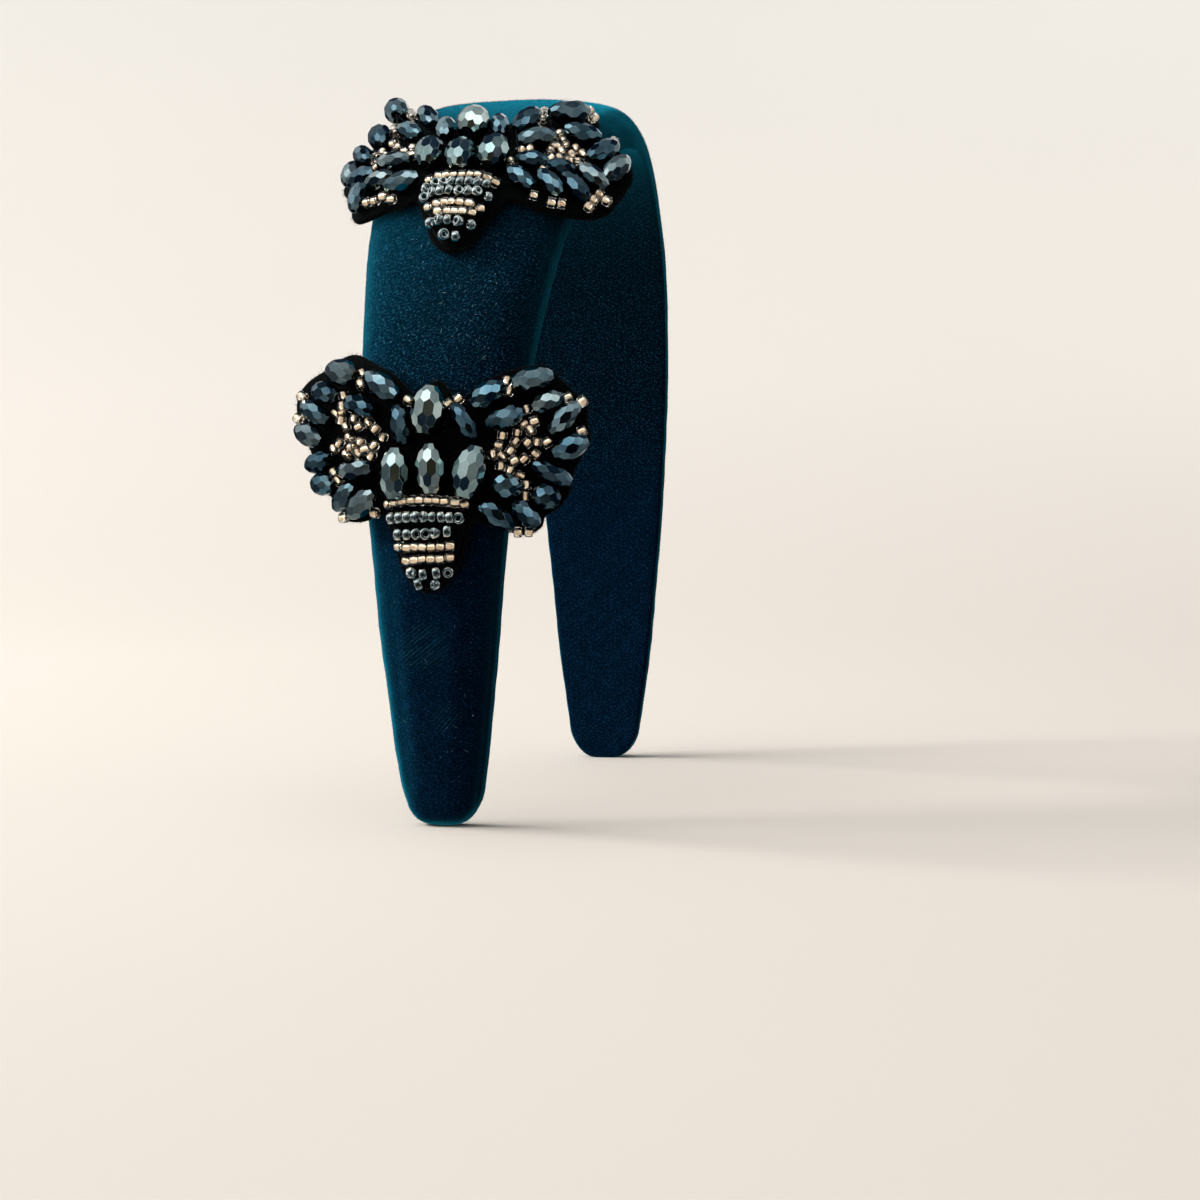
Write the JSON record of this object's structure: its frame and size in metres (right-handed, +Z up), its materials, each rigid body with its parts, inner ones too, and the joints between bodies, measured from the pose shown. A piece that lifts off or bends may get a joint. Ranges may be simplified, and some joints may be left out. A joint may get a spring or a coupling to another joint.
{
  "type": "velvet headband",
  "caption": "Wide padded velvet headband that narrows to rounded tips, with beaded bees on felt sewn along one arm; worn over the head from ear to ear.",
  "frame": {"origin": "on the surface it stands on, midway between the outermost points of the whole object", "axes": "+Z up towards the crown, -Y towards the forehead, -X towards the arm that carries the bees"},
  "size_m": [0.1592, 0.0682, 0.1638],
  "materials": {
    "velvet": "deep teal blue pile velvet over soft padding",
    "felt": "black felt with a fuzzy cut edge",
    "faceted_glass": "opaque faceted glass with a dark slate blue metallic coat",
    "gold_seed_beads": "small lined glass beads, pale rose gold",
    "seed_bead_rows": "rows of small glass beads, pale gold and dark gunmetal blue by turns"
  },
  "bodies": {
    "root": {"padded_band": "velvet", "side_bee_backing": "felt", "side_bee_abdomen": "seed_bead_rows", "side_bee_left_seeds": "gold_seed_beads", "side_bee_right_seeds": "gold_seed_beads", "top_bee_backing": "felt", "top_bee_abdomen": "seed_bead_rows", "top_bee_left_seeds": "gold_seed_beads", "top_bee_right_seeds": "gold_seed_beads", "side_bee_left_1": "faceted_glass", "side_bee_left_2": "faceted_glass", "side_bee_left_3": "faceted_glass", "side_bee_left_4": "faceted_glass", "side_bee_left_5": "faceted_glass", "side_bee_left_6": "faceted_glass", "side_bee_left_7": "faceted_glass", "side_bee_left_8": "faceted_glass", "side_bee_left_9": "faceted_glass", "side_bee_left_10": "faceted_glass", "side_bee_left_11": "faceted_glass", "side_bee_right_1": "faceted_glass", "side_bee_right_2": "faceted_glass", "side_bee_right_3": "faceted_glass", "side_bee_right_4": "faceted_glass", "side_bee_right_5": "faceted_glass", "side_bee_right_6": "faceted_glass", "side_bee_right_7": "faceted_glass", "side_bee_right_8": "faceted_glass", "side_bee_right_9": "faceted_glass", "side_bee_right_10": "faceted_glass", "side_bee_right_11": "faceted_glass", "side_bee_thorax_1": "faceted_glass", "side_bee_thorax_2": "faceted_glass", "side_bee_thorax_3": "faceted_glass", "side_bee_thorax_4": "faceted_glass", "side_bee_thorax_5": "faceted_glass", "side_bee_thorax_6": "faceted_glass", "top_bee_thorax_1": "faceted_glass", "top_bee_thorax_2": "faceted_glass", "top_bee_thorax_3": "faceted_glass", "top_bee_thorax_4": "faceted_glass", "top_bee_thorax_5": "faceted_glass", "top_bee_thorax_6": "faceted_glass", "top_bee_left_upper": "faceted_glass", "top_bee_left_lower": "faceted_glass", "top_bee_right_upper": "faceted_glass", "top_bee_right_lower": "faceted_glass"}
  },
  "joints": []
}
